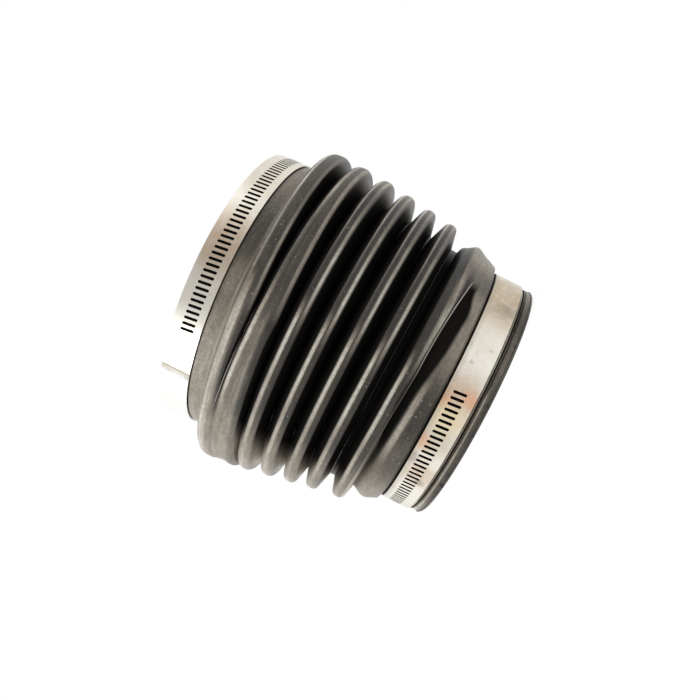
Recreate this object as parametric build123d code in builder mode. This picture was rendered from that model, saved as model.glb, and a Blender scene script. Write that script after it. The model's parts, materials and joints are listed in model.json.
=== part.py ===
"""Rubber bellows boot with its two worm-drive clamps, standing on its small end.

Millimetres, +Z up. The origin is the middle of the small end's face. The folds lean a little
against each other, always in the XZ plane, so every fold has a plane of its own.
"""

import os
from math import atan, cos, degrees, pi, radians, sin, tan

from build123d import *

# ---------------------------------------------------------------- boot: cuffs
wall = 2.0  # rubber thickness in the folds
cuff_wall = 3.5  # rubber thickness under the clamps
small_cuff_radius = 57.0  # outside, where the small clamp sits
large_cuff_radius = 65.1
rim_height = 6.0  # the two beads beyond the small clamp
rim_drop = 0.3  # how far the beads lie inside the cuff's outside
rim_rounding = 1.0
bead_groove_height = 3.7  # bottom of the thin groove between the two beads
bead_groove_depth = 0.9
bead_groove_half_width = 0.5
small_cuff_height = 13.9  # seat of the small clamp
large_cuff_height = 24.0  # from inside the end fold to the large end's face
end_edge = 0.6  # chamfer of the large end's outer edge
large_end_lean = -2.45  # degrees, against the small end's face
bellows_lean = -1.45  # degrees, middle line of the folds

# ---------------------------------------------------------------- boot: folds
# steps are from one fold's plane to the next, depths from the cone along the valleys to a tip
tip_width = 4.8  # a narrow fold's tip, roundings included
tip_rounding = 2.5
inner_tip_rounding = 0.6
low_flank_angle = 13.0  # degrees between a fold's plane and its side towards the small end
high_flank_angle = 20.0
root_margin = 4.0  # how far a fold's hollow reaches in past the wall of the cone

first_fold_step = 16.0  # from the small cuff's top
first_fold_lean = 0.9
first_fold_depth = 6.45
first_fold_shift = -2.5  # along X: this fold sits off centre

second_fold_step = 11.75  # the equal narrow folds between the first and the wide one
second_fold_lean = 1.4
second_fold_depth = 9.5
middle_folds = 4
fold_pitch = 10.85
fold_lean_step = -0.55
fold_depth_step = 0.75

wide_fold_step = 9.4  # the wide fold is two lobes run together, which don't lean alike
wide_fold_low_lean = -2.4
wide_fold_width = 3.6  # from lobe to lobe
wide_fold_high_lean = 0.2
wide_fold_depth = 11.9
lobe_drop = 0.3  # how far the face between the lobes lies inside their tips

end_fold_step = 7.8  # the fold next to the large end
end_fold_lean = -3.1
end_fold_depth = 11.5
end_fold_tip_width = 6.4
end_fold_high_rounding = 3.4
large_cuff_step = 2.2  # from the end fold's plane to the start of the large cuff

# ------------------------------------------------ boot: collar at the small end
# steps outwards are from the small cuff's outside, steps up are from its top
collar_low_out = 2.9
collar_low_up = 0.3
collar_low_rounding = 0.8
collar_out = 5.8
collar_up = 6.5
collar_rounding = 5.0
crease_out = 1.4  # from the cone along the valleys
crease_up = 12.6
web_shift = 7.5  # axis of the web that joins the collar to the first fold on the +X side
web_low_out = 2.6
web_low_up = 0.7
web_out = 8.4
web_up = 11.1
web_high_out = 4.8
web_high_up = 16.6
web_rounding = 3.0

# ---------------------------------------------------------------- clamps: band
band_width = 12.7
band_thickness = 0.7
band_gap = 0.05  # between a band and what it lies on
slot_pitch = 2.5
slot_length = 5.7
slot_width = 1.2
slot_edge = 4.0  # from the band's edge to the slots
fixed_end_length = 3.0  # fixed end of the band, past the housing
ramp_length = 7.0  # where the band climbs over its own fixed end
ramp_gap = 0.8  # from the ramp's end to the fixed end
tail_length = 26.0  # free end of the band, past the housing
tail_margin = 4.0  # from the last slot to the end of the tail

# ---------------------------------------------------------------- clamps: screw and housing
worm_root_radius = 3.7
worm_thread_depth = 0.9
worm_clearance = 0.3  # from the worm's root to the band
housing_length = 14.0
housing_wall = 1.0
housing_rounding = 0.6
housing_room = 0.1  # from the housing to the thread and to the band
end_wall = 1.2
journal_radius = 2.3
neck_radius = 2.8
running_clearance = 0.05
end_play = 0.2
journal_overhang = 0.4  # rear journal past the housing
head_collar_radius = 4.0
head_collar_height = 0.9
head_across_flats = 7.0
head_height = 4.4
driver_slot_width = 1.2
driver_slot_depth = 1.8

# places around each clamp, in degrees from its own X
large_housing_angle = 75.0
large_first_slot_angle = -111.6
small_housing_angle = 255.0
small_first_slot_angle = 90.0

# ---------------------------------------------------------------- derived
rim_radius = small_cuff_radius - rim_drop
small_cuff_top = rim_height + small_cuff_height
first_fold_height = small_cuff_top + first_fold_step
second_fold_height = first_fold_height + second_fold_step
wide_fold_low_height = second_fold_height + (middle_folds - 1) * fold_pitch + wide_fold_step
wide_fold_high_height = wide_fold_low_height + wide_fold_width
end_fold_height = wide_fold_high_height + end_fold_step
large_cuff_start = end_fold_height + large_cuff_step
boot_height = large_cuff_start + large_cuff_height
small_bore_radius = small_cuff_radius - cuff_wall
large_bore_radius = large_cuff_radius - cuff_wall
thread_radius = worm_root_radius + worm_thread_depth
slot_angle = degrees(atan(slot_pitch / (2 * pi * (worm_root_radius + worm_thread_depth / 2))))


def middle_x(height):
    """X of the folds' middle line at a height."""
    return tan(radians(bellows_lean)) * max(0.0, height - small_cuff_top)


def valley_radius(height):
    """Radius of the cone along the bottom of the valleys."""
    share = (height - small_cuff_top) / (large_cuff_start - small_cuff_top)
    return small_cuff_radius + share * (large_cuff_radius - small_cuff_radius)


def leaning_plane(height, lean, shift=0.0):
    """Plane across the boot at a height, its normal leaning towards +X."""
    turn = radians(lean)
    origin = (middle_x(height) + shift, 0, height)
    return Plane(origin=origin, x_dir=(cos(turn), 0, -sin(turn)), z_dir=(sin(turn), 0, cos(turn)))


def section_of(plane):
    """Upright plane through the middle of a leaning plane: X is the radius, Y the height."""
    return Plane(origin=plane.origin, x_dir=plane.x_dir, z_dir=-plane.y_dir)


def axis_of(plane):
    return Axis(plane.origin, plane.z_dir)


# ---------------------------------------------------------------- the boot's folds
first_fold_plane = leaning_plane(first_fold_height, first_fold_lean, first_fold_shift)
first_fold_radius = valley_radius(first_fold_height) + first_fold_depth
wide_low_plane = leaning_plane(wide_fold_low_height, wide_fold_low_lean)
wide_high_plane = leaning_plane(wide_fold_high_height, wide_fold_high_lean)
wide_fold_radius = valley_radius(wide_fold_low_height) + wide_fold_depth
lobe_radius = wide_fold_radius - lobe_drop
end_fold_plane = leaning_plane(end_fold_height, end_fold_lean)
end_fold_radius = valley_radius(end_fold_height) + end_fold_depth
# each fold: its plane, its tip's radius and width, and the rounding of its upper corner
folds = [(first_fold_plane, first_fold_radius, tip_width, tip_rounding)]
for number in range(middle_folds):
    height = second_fold_height + number * fold_pitch
    lean = second_fold_lean + number * fold_lean_step
    tip_radius = valley_radius(height) + second_fold_depth + number * fold_depth_step
    folds.append((leaning_plane(height, lean), tip_radius, tip_width, tip_rounding))
folds.append((wide_low_plane, wide_fold_radius, tip_width, tip_rounding))
folds.append((wide_high_plane, wide_fold_radius, tip_width, tip_rounding))
folds.append((end_fold_plane, end_fold_radius, end_fold_tip_width, end_fold_high_rounding))

collar_radius = small_cuff_radius + collar_out
collar_height = small_cuff_top + collar_up
collar_low = (small_cuff_radius + collar_low_out, small_cuff_top + collar_low_up)
crease_height = small_cuff_top + crease_up
crease = (valley_radius(crease_height) + crease_out, crease_height)
small_cuff_plane = leaning_plane(small_cuff_top, 0)
collar_plane = leaning_plane(collar_height, 0)
large_end = leaning_plane(boot_height, large_end_lean)
large_cuff_plane = large_end.offset(-large_cuff_height)


def fold_profile(plane, tip_radius, low_tip, high_tip, low_rounding, high_rounding):
    """Half section of one fold, from its axis to its rounded tip."""
    root_radius = valley_radius(plane.origin.Z) - wall - root_margin
    depth = tip_radius - root_radius
    low_root = low_tip + depth * tan(radians(low_flank_angle))
    high_root = high_tip + depth * tan(radians(high_flank_angle))
    with BuildSketch(section_of(plane)) as profile:
        with BuildLine():
            Polyline(
                (0, -low_root), (root_radius, -low_root), (tip_radius, -low_tip),
                (tip_radius, high_tip), (root_radius, high_root), (0, high_root), close=True,
            )
        make_face()
        fillet(profile.vertices().group_by(Axis.X)[-1].sort_by(Axis.Y)[0], low_rounding)
        fillet(profile.vertices().sort_by_distance((tip_radius, high_tip))[0], high_rounding)
    return profile.sketch


def outer_fold(plane, tip_radius, width, high_rounding):
    half = width / 2
    return fold_profile(plane, tip_radius, half, half, tip_rounding, high_rounding)


def inner_fold(plane, tip_radius, width):
    """The hollow inside a fold, one wall in from its outside."""
    low, high = radians(low_flank_angle), radians(high_flank_angle)
    low_tip = width / 2 + wall * tan(low) - wall / cos(low)
    high_tip = width / 2 + wall * tan(high) - wall / cos(high)
    rounding = inner_tip_rounding
    return fold_profile(plane, tip_radius - wall, low_tip, high_tip, rounding, rounding)


def discs(stations):
    """Circles for a loft, each from its plane and radius."""
    circles = []
    for plane, radius in stations:
        with BuildSketch(plane) as station:
            Circle(radius)
        circles.append(station.sketch)
    return circles


def web_profile(depth):
    """Half section of the web, a depth in from its outside."""
    plane = Plane(origin=(web_shift, 0, small_cuff_top), x_dir=(-1, 0, 0), z_dir=(0, 1, 0))
    reach = small_cuff_radius - web_shift - depth
    with BuildSketch(plane) as profile:
        with BuildLine():
            Polyline(
                (0, web_low_up + depth), (reach + web_low_out, web_low_up + depth),
                (reach + web_out, web_up), (reach + web_high_out, web_high_up),
                (0, web_high_up), close=True,
            )
        make_face()
        fillet(profile.vertices().sort_by_distance((reach + web_out, web_up))[0], web_rounding)
    return profile.sketch


web_axis = Axis((web_shift, 0, 0), (0, 0, 1))

with BuildPart() as bellows_boot:
    # small cuff with its two beads, the collar above it, and the web from there to the first fold
    with BuildSketch(Plane.XZ) as collar_profile:
        with BuildLine():
            Polyline(
                (0, 0), (rim_radius, 0),
                (rim_radius, bead_groove_height - bead_groove_half_width),
                (rim_radius - bead_groove_depth, bead_groove_height),
                (rim_radius, bead_groove_height + bead_groove_half_width),
                (rim_radius, rim_height), (small_cuff_radius, rim_height),
                (small_cuff_radius, small_cuff_top), collar_low,
                (collar_radius, collar_height), crease, (0, crease_height), close=True,
            )
        make_face()
        corners = collar_profile.vertices()
        fillet(corners.sort_by_distance((collar_radius, collar_height))[0], collar_rounding)
        corners = collar_profile.vertices()
        fillet(corners.sort_by_distance(collar_low)[0], collar_low_rounding)
        corners = collar_profile.vertices()
        fillet(corners.sort_by_distance((rim_radius, 0))[0], rim_rounding)
    revolve(axis=Axis.Z)
    revolve(web_profile(0), axis=web_axis)
    # core along the bottom of the valleys, and the large cuff
    loft(discs([(small_cuff_plane, small_cuff_radius), (large_cuff_plane, large_cuff_radius)]), ruled=True)
    with BuildSketch(large_cuff_plane):
        Circle(large_cuff_radius)
    extrude(amount=large_cuff_height)
    chamfer(bellows_boot.edges().sort_by(Axis.Z)[-1], end_edge)
    for plane, tip_radius, width, high_rounding in folds:
        revolve(outer_fold(plane, tip_radius, width, high_rounding), axis=axis_of(plane))
    # the wide fold's middle
    loft(discs([(wide_low_plane, lobe_radius), (wide_high_plane, lobe_radius)]), ruled=True)

    # the hollow: bores, core and folds
    with BuildSketch(Plane.XZ):
        with BuildLine():
            Polyline(
                (0, 0), (small_bore_radius, 0), (small_bore_radius, small_cuff_top),
                (collar_radius - cuff_wall, collar_height), (crease[0] - wall, crease_height),
                (0, crease_height), close=True,
            )
        make_face()
    revolve(axis=Axis.Z, mode=Mode.SUBTRACT)
    inner_core = [(collar_plane, small_cuff_radius - wall), (large_cuff_plane, large_cuff_radius - wall)]
    loft(discs(inner_core), ruled=True, mode=Mode.SUBTRACT)
    with BuildSketch(large_cuff_plane):
        Circle(large_bore_radius)
    extrude(amount=large_cuff_height, mode=Mode.SUBTRACT)
    for plane, tip_radius, width, high_rounding in folds:
        revolve(inner_fold(plane, tip_radius, width), axis=axis_of(plane), mode=Mode.SUBTRACT)
    revolve(web_profile(wall), axis=web_axis, mode=Mode.SUBTRACT)

bellows_boot.part.label = "bellows_boot"


# ---------------------------------------------------------------- the clamps
def band_outline(inner_radius, outer_layer_radius, start, ramp_start, ramp_end, tail_end):
    """Edge view of a band: once round, up over its own fixed end, and on as the tail."""
    with BuildSketch() as outline:
        with BuildLine():
            low_in = CenterArc((0, 0), inner_radius, start, ramp_start - start)
            low_out = CenterArc((0, 0), inner_radius + band_thickness, start, ramp_start - start)
            high_in = CenterArc((0, 0), outer_layer_radius, ramp_end, tail_end - ramp_end)
            high_out = CenterArc((0, 0), outer_layer_radius + band_thickness, ramp_end, tail_end - ramp_end)
            Line(low_in @ 1, high_in @ 0)
            Line(low_out @ 1, high_out @ 0)
            Line(low_in @ 0, low_out @ 0)
            Line(high_in @ 1, high_out @ 1)
        make_face()
    return outline.sketch


def tangent_plane(base, radius, angle, height):
    """Plane touching a clamp at an angle: X runs up the clamp, Z points outwards."""
    turn = radians(angle)
    local = Plane(
        origin=(radius * cos(turn), radius * sin(turn), height),
        x_dir=(0, 0, 1),
        z_dir=(cos(turn), sin(turn), 0),
    )
    return Plane(base.location * local.location)


def across_plane(base, radius, angle, height):
    """Plane across a clamp's screw: X points outwards, Z along the band's travel."""
    turn = radians(angle)
    local = Plane(
        origin=(radius * cos(turn), radius * sin(turn), height),
        x_dir=(cos(turn), sin(turn), 0),
        z_dir=(-sin(turn), cos(turn), 0),
    )
    return Plane(base.location * local.location)


def clamp(name, base, cuff_radius, housing_angle, first_slot_angle):
    """Band, housing and screw of one clamp; base's Z runs across the band's width."""
    inner_radius = cuff_radius + band_gap
    outer_layer_radius = inner_radius + band_thickness + band_gap
    band_top = outer_layer_radius + band_thickness
    screw_radius = band_top + worm_clearance + worm_root_radius
    to_degrees = 180 / (pi * inner_radius)
    half_housing = housing_length / 2 * to_degrees
    start = housing_angle - half_housing - fixed_end_length * to_degrees
    ramp_end = start - ramp_gap * to_degrees + 360
    ramp_start = ramp_end - ramp_length * to_degrees
    tail_end = housing_angle + half_housing + tail_length * to_degrees + 360

    with BuildPart() as band:
        with BuildSketch(base):
            add(band_outline(inner_radius, outer_layer_radius, start, ramp_start, ramp_end, tail_end))
        extrude(amount=band_width)
        pitch_angle = slot_pitch * to_degrees
        slots = int((tail_end - tail_margin * to_degrees - first_slot_angle - 360) / pitch_angle) + 1
        angles = [first_slot_angle + 360 + number * pitch_angle for number in range(slots)]
        slot_middle = band_width - slot_edge - slot_length / 2
        low_cut = inner_radius - band_gap
        with BuildSketch(*[tangent_plane(base, low_cut, angle, slot_middle) for angle in angles if angle <= ramp_end]):
            SlotOverall(slot_length, slot_width, rotation=slot_angle)
        extrude(amount=band_top + band_gap - low_cut, mode=Mode.SUBTRACT)
        high_cut = outer_layer_radius - band_gap / 2
        with BuildSketch(*[tangent_plane(base, high_cut, angle, slot_middle) for angle in angles if angle > ramp_end]):
            SlotOverall(slot_length, slot_width, rotation=slot_angle)
        extrude(amount=band_top + band_gap - high_cut, mode=Mode.SUBTRACT)
    band.part.label = name + "_band"

    axis_plane = across_plane(base, screw_radius, housing_angle, band_width / 2)
    half_length = housing_length / 2
    flange_bottom = band_top + housing_room - screw_radius
    wall_bottom = inner_radius + housing_room - screw_radius
    wall_inside = band_width / 2 + housing_room
    tunnel_radius = thread_radius + housing_room
    with BuildPart() as housing:
        with BuildSketch(axis_plane.offset(-half_length)) as profile:
            Circle(tunnel_radius + housing_wall)
            with Locations((wall_bottom, 0)):
                Rectangle(
                    flange_bottom + housing_wall - wall_bottom, 2 * (wall_inside + housing_wall),
                    align=(Align.MIN, Align.CENTER),
                )
            fillet(
                profile.vertices().filter_by_position(
                    Axis.X, flange_bottom + housing_wall - 0.01, flange_bottom + housing_wall + 0.01
                ).group_by(SortBy.DISTANCE)[-1],
                housing_rounding,
            )
            with Locations((flange_bottom, 0)):
                Rectangle(
                    2 * tunnel_radius, 2 * wall_inside, align=(Align.MAX, Align.CENTER), mode=Mode.SUBTRACT
                )
        extrude(amount=housing_length)
        with BuildSketch(axis_plane.offset(end_wall - half_length)):
            Circle(tunnel_radius)
        extrude(amount=housing_length - 2 * end_wall, mode=Mode.SUBTRACT)
        with BuildSketch(axis_plane.offset(-half_length)):
            Circle(journal_radius + running_clearance)
        extrude(amount=end_wall, mode=Mode.SUBTRACT)
        with BuildSketch(axis_plane.offset(half_length)):
            Circle(neck_radius + running_clearance)
        extrude(amount=-end_wall, mode=Mode.SUBTRACT)
    housing.part.label = name + "_housing"

    root_end = half_length - end_wall - end_play
    collar_start = half_length + end_play
    head_start = collar_start + head_collar_height
    with BuildPart() as screw:
        with BuildSketch(axis_plane.offset(-half_length - journal_overhang)):
            Circle(journal_radius)
        extrude(amount=half_length + journal_overhang)
        with BuildSketch(axis_plane.offset(-root_end)):
            Circle(worm_root_radius)
        extrude(amount=2 * root_end)
        with BuildSketch(axis_plane):
            Circle(neck_radius)
        extrude(amount=collar_start)
        with BuildSketch(axis_plane.offset(collar_start)):
            Circle(head_collar_radius)
        extrude(amount=head_collar_height)
        with BuildSketch(axis_plane.offset(head_start)):
            RegularPolygon(head_across_flats / 2, 6, major_radius=False)
        extrude(amount=head_height)
        slot_floor = axis_plane.offset(head_start + head_height - driver_slot_depth)
        with BuildSketch(slot_floor):
            Rectangle(3 * head_collar_radius, driver_slot_width)
        extrude(amount=driver_slot_depth, mode=Mode.SUBTRACT)
    screw.part.label = name + "_screw"
    return [band.part, housing.part, screw.part]


large_base = large_end.offset(-band_width)
small_base = Plane(origin=(0, 0, rim_height + band_width), x_dir=(1, 0, 0), z_dir=(0, 0, -1))
pieces = [bellows_boot.part]
pieces += clamp("large_clamp", large_base, large_cuff_radius, large_housing_angle, large_first_slot_angle)
pieces += clamp("small_clamp", small_base, small_cuff_radius, small_housing_angle, small_first_slot_angle)

os.makedirs("parts", exist_ok=True)
for piece in pieces:
    export_step(piece, "parts/" + piece.label + ".step")
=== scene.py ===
"""Dresses a rubber bellows boot and its two worm-drive clamps, and sets up the studio around it."""

import json
import math

import bpy
from bpy.props import FloatProperty, FloatVectorProperty, IntProperty, PointerProperty
from mathutils import Matrix, Vector


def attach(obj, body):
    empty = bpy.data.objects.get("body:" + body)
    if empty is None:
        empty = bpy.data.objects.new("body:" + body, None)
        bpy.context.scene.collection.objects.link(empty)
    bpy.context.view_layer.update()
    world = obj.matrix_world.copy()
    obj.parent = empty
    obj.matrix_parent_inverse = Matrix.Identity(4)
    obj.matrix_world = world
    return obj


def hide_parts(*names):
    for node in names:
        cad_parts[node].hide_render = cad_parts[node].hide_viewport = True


bl_info = {
    "name": "Bellows Boot",
    "version": (1, 0, 0),
    "blender": (4, 5, 0),
    "location": "View3D > Sidebar > Boot",
    "description": "Builds the looks of a rubber bellows boot held by two worm-drive clamps",
    "category": "Object",
}

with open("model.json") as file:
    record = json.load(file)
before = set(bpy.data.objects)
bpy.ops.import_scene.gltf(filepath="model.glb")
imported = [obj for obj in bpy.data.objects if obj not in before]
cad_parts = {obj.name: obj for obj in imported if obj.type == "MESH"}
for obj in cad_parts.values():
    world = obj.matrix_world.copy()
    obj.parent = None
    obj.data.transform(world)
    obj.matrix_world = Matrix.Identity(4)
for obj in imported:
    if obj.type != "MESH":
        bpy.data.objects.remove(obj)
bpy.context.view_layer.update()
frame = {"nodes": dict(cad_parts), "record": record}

MM = 0.001


# ---------------------------------------------------------------- properties
def length(name, description, default):
    return FloatProperty(name=name, description=description, default=default, unit="LENGTH", precision=5)


def angle(name, description, default):
    turn = math.radians(default)
    return FloatProperty(name=name, description=description, default=turn, unit="ROTATION")


def colour(name, description, default):
    return FloatVectorProperty(
        name=name, description=description, default=default, subtype="COLOR", size=3, min=0.0, max=1.0
    )


def amount(name, description, default):
    return FloatProperty(
        name=name, description=description, default=default, subtype="FACTOR", min=0.0, max=1.0
    )


class BootRubber(bpy.types.PropertyGroup):
    """Where the folds lie, and the colours that moulding and handling left on them, with painted light,
    painted highlights and painted shade.
    """

    small_cuff_top: length("Small cuff top", "Height where the middle line starts to lean", 0.0199)
    middle_lean: angle("Middle lean", "Lean of the folds' middle line", -1.45)
    first_fold: length("First fold", "Height of the fold next to the small end", 0.0359)
    first_lean: angle("First lean", "Lean of that fold", 0.9)
    first_shift: length("First shift", "Shift of that fold along X", -0.0025)
    second_fold: length("Second fold", "Height of the first of the equal folds", 0.04765)
    second_lean: angle("Second lean", "Lean of the first of the equal folds", 1.4)
    equal_folds: IntProperty(name="Equal folds", description="Number of equal narrow folds", default=4)
    pitch: length("Pitch", "Step between equal folds", 0.01085)
    lean_step: angle("Lean step", "Change of lean from fold to fold", -0.55)
    wide_low: length("Wide fold's lower lobe", "Height of the wide fold's lower lobe", 0.0896)
    wide_low_lean: angle("Lower lobe's lean", "Lean of the wide fold's lower lobe", -2.4)
    wide_high: length("Wide fold's upper lobe", "Height of the wide fold's upper lobe", 0.0932)
    wide_high_lean: angle("Upper lobe's lean", "Lean of the wide fold's upper lobe", 0.2)
    end_fold: length("End fold", "Height of the fold next to the large end", 0.101)
    end_lean: angle("End lean", "Lean of the end fold", -3.1)
    large_face: length("Large end", "Height of the large end's face", 0.1272)
    large_lean: angle("Large end's lean", "Lean of the large end's face", -2.45)
    # painted shade: matt near-black of the valleys, the hollow under the crease and the rubber under the
    # clamps
    deep: colour("Deep rubber", "Rubber deep in the valleys", (0.0085, 0.0080, 0.0075))
    bloom: colour("Bloom", "Tint of the brown-grey bloom on the rubber", (1.0, 0.87, 0.70))
    # tint of the painted highlights along the tips and of the brightest painted light
    rubbed: colour("Rubbed", "Tint of the rubbed corners of the tips", (1.0, 0.96, 0.84))
    dust: colour("Dust", "Specks of dust and release powder", (0.5, 0.48, 0.44))
    roughness: amount("Roughness", "Roughness of clean rubber", 0.42)
    gloss: amount("Gloss", "Specular level of the rubber", 0.34)


class BootFlash(bpy.types.PropertyGroup):
    """Moulding flash left along the small end's outer edge."""

    radius: length("Radius", "Radius of the rim that carries the flash", 0.05665)
    height: length("Height", "Height of the parting line", 0.0013)
    reach: length("Reach", "How far the flash stands out", 0.0005)
    thickness: length("Thickness", "Thickness of the flash", 0.00022)
    teeth: IntProperty(name="Teeth", description="Saw-like teeth of the torn flash", default=230)
    nub: length("Nub", "Radius of a torn-off nub", 0.0009)


class BootClamps(bpy.types.PropertyGroup):
    """Sizes of the worm screws and the housings' edges, and the colours of the steel, with the painted shade
    and painted reflection on the bands.
    """

    worm_root: length("Worm root", "Radius of the worm between its threads", 0.0031)
    worm_crest: length("Worm crest", "Radius over the worm's thread", 0.00392)
    pitch: length("Pitch", "Pitch of the worm's thread", 0.0025)
    worm_length: length("Worm length", "Length of the threaded part", 0.0112)
    journal: length("Journal", "Radius of the rear journal", 0.0023)
    journal_end: length("Journal end", "From the screw's middle to the journal's end", 0.0074)
    neck: length("Neck", "Radius of the neck in the housing's end wall", 0.0028)
    collar_start: length("Collar start", "From the screw's middle to the head's collar", 0.0072)
    collar: length("Collar", "Radius of the head's collar", 0.004)
    collar_height: length("Collar height", "Thickness of the head's collar", 0.0009)
    head_flats: length("Head", "Across the head's flats", 0.007)
    head_height: length("Head height", "Height of the hexagon", 0.0044)
    slot_width: length("Slot width", "Width of the driver slot", 0.0012)
    slot_depth: length("Slot depth", "Depth of the driver slot", 0.0018)
    edge: length("Edge", "Rounding of the housings' edges", 0.00018)
    steel: colour("Steel", "Bright rolled strip", (0.86, 0.83, 0.75))
    cream: colour("Cream", "Strip with a thin film of oil", (0.62, 0.56, 0.45))
    straw: colour("Straw", "Straw heat tint", (0.78, 0.66, 0.42))
    orange: colour("Orange", "Orange heat tint", (0.72, 0.40, 0.25))
    # khaki oil film, darker as painted shade over the small band's +X side
    khaki_shade: colour("Khaki", "Strip with an old film of oil", (0.50, 0.41, 0.29))
    beige: colour("Beige", "Strip with a thin brown film", (0.60, 0.47, 0.35))
    # also painted shade along the large band's fold and below the small band's upper edge
    brown: colour("Brown", "Grey-brown smears", (0.30, 0.255, 0.20))
    # painted reflection of the white room, on the large band beyond its fold
    white_reflection: colour("Bare", "Bright strip beyond the large band's fold", (1.0, 0.99, 0.97))
    shadow: colour("Shadow", "Slots' walls and the small band's upper edge", (0.008, 0.006, 0.005))
    plated: colour("Plated", "Dull plated steel of the screws", (0.62, 0.61, 0.58))
    roughness: amount("Roughness", "Roughness of the strip", 0.26)


class BootStudio(bpy.types.PropertyGroup):
    """Camera, floor and lights."""

    lens: FloatProperty(
        name="Lens", description="Focal length in millimetres", default=35.49, unit="CAMERA"
    )
    paper: amount("Paper", "Reflectance of the floor", 0.8)
    shade: amount("Shade", "How much of the floor's light can be shadowed", 0.3)
    fill: FloatProperty(
        name="Fill", description="Strength of the room's light on the object", default=0.62
    )
    dim: amount("Dim side", "Brightness that gloss shows in front of the boot", 0.6)


# ---------------------------------------------------------------- shader maths
class Value:
    """One output of a finish's nodes, so that shader maths reads as plain arithmetic."""

    def __init__(self, finish, socket):
        self.finish = finish
        self.socket = socket

    def math(self, operation, *others):
        sockets = dict(enumerate((self, *others)))
        return self.finish.node("ShaderNodeMath", {"operation": operation}, sockets)

    def __add__(self, other):
        return self.math("ADD", other)

    __radd__ = __add__

    def __sub__(self, other):
        return self.math("SUBTRACT", other)

    def __rsub__(self, other):
        return self.finish.node("ShaderNodeMath", {"operation": "SUBTRACT"}, {0: other, 1: self})

    def __mul__(self, other):
        return self.math("MULTIPLY", other)

    __rmul__ = __mul__

    def __abs__(self):
        return self.math("ABSOLUTE")

    def least(self, other):
        return self.math("MINIMUM", other)

    def most(self, other):
        return self.math("MAXIMUM", other)

    def power(self, exponent):
        return self.math("POWER", exponent)

    def rise(self, low, high):
        """0 up to low, 1 from high on, smooth between."""
        sockets = {"Value": self, "From Min": low, "From Max": high}
        return self.finish.node("ShaderNodeMapRange", {"interpolation_type": "SMOOTHSTEP"}, sockets)

    def fall(self, low, high):
        """1 up to low, 0 from high on, smooth between."""
        return 1.0 - self.rise(low, high)


class Finish:
    """A material and the nodes that feed its one shader."""

    def __init__(self, tree, shader):
        self.tree = tree
        self.shader = shader

    @classmethod
    def named(cls, name):
        material = bpy.data.materials.new(name)
        material.use_nodes = True
        finish = cls(material.node_tree, material.node_tree.nodes["Principled BSDF"])
        finish.material = material
        return finish

    def node(self, kind, settings=None, sockets=None, output=0):
        made = self.tree.nodes.new(kind)
        for name, value in (settings or {}).items():
            setattr(made, name, value)
        for name, value in (sockets or {}).items():
            if isinstance(value, Value):
                self.tree.links.new(value.socket, made.inputs[name])
            else:
                made.inputs[name].default_value = value
        return Value(self, made.outputs[output])

    def vector(self, operation, sockets, output=0):
        return self.node("ShaderNodeVectorMath", {"operation": operation}, sockets, output)

    def place(self):
        """Position on the object, in millimetres."""
        spot = self.node("ShaderNodeTexCoord", output="Object")
        return self.vector("SCALE", {0: spot, "Scale": 1 / MM})

    def stretched(self, vector, scale):
        return self.vector("MULTIPLY", {0: vector, 1: scale})

    def along(self, vector, direction):
        """How far a place lies along a direction."""
        return self.vector("DOT_PRODUCT", {0: vector, 1: direction}, "Value")

    def from_axis(self, vector, point, direction):
        """Distance of a place from a line through a point."""
        offset = self.vector("SUBTRACT", {0: vector, 1: point})
        cross = self.vector("CROSS_PRODUCT", {0: offset, 1: direction})
        return self.vector("LENGTH", {0: cross}, "Value")

    def near(self, vector, spot, reach):
        """1 at a spot, falling to 0 at its reach."""
        gap = self.vector("DISTANCE", {0: vector, 1: spot}, "Value")
        return gap.fall(0.25 * reach, reach)

    def noise(self, vector, scale, detail, roughness=0.5):
        sockets = {"Vector": vector, "Scale": scale, "Detail": detail, "Roughness": roughness}
        return self.node("ShaderNodeTexNoise", None, sockets)

    def specks(self, vector, scale, size, share):
        """Small round specks, in a share of the cells."""
        cells = {"Vector": vector, "Scale": scale}
        gap = self.node("ShaderNodeTexVoronoi", None, cells, "Distance")
        pick = self.node("ShaderNodeTexVoronoi", None, cells, "Color")
        chance = self.along(pick, (1.0, 0.0, 0.0))
        return gap.fall(0.5 * size * scale, size * scale) * chance.rise(1.0 - share, 1.02 - share)

    def mix(self, factor, low, high):
        low, high = (value if isinstance(value, Value) else (*value, 1.0) for value in (low, high))
        return self.node("ShaderNodeMix", {"data_type": "RGBA"}, {0: factor, 6: low, 7: high}, 2)

    def feed(self, name, value):
        if isinstance(value, Value):
            self.tree.links.new(value.socket, self.shader.inputs[name])
        else:
            self.shader.inputs[name].default_value = value

    def overlay(self, mask, other):
        """Show another shader in place of this one where the mask is 1."""
        body = Value(self, self.shader.outputs[0])
        blend = self.node("ShaderNodeMixShader", None, {0: mask, 1: body, 2: other})
        self.tree.links.new(blend.socket, self.tree.nodes["Material Output"].inputs["Surface"])

    def shade(self, mask, colour):
        """Paint shade: turn to a matt colour where the mask is 1."""
        sockets = {"Base Color": (*colour, 1.0), "Roughness": 0.9, "Specular IOR Level": 0.0}
        self.overlay(mask, self.node("ShaderNodeBsdfPrincipled", None, sockets))

    def bump(self, height, distance):
        """Relief from a height, which stands out by the given distance in millimetres where it is 1."""
        sockets = {"Height": height, "Distance": distance * MM, "Strength": 1.0}
        self.feed("Normal", self.node("ShaderNodeBump", None, sockets))


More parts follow.
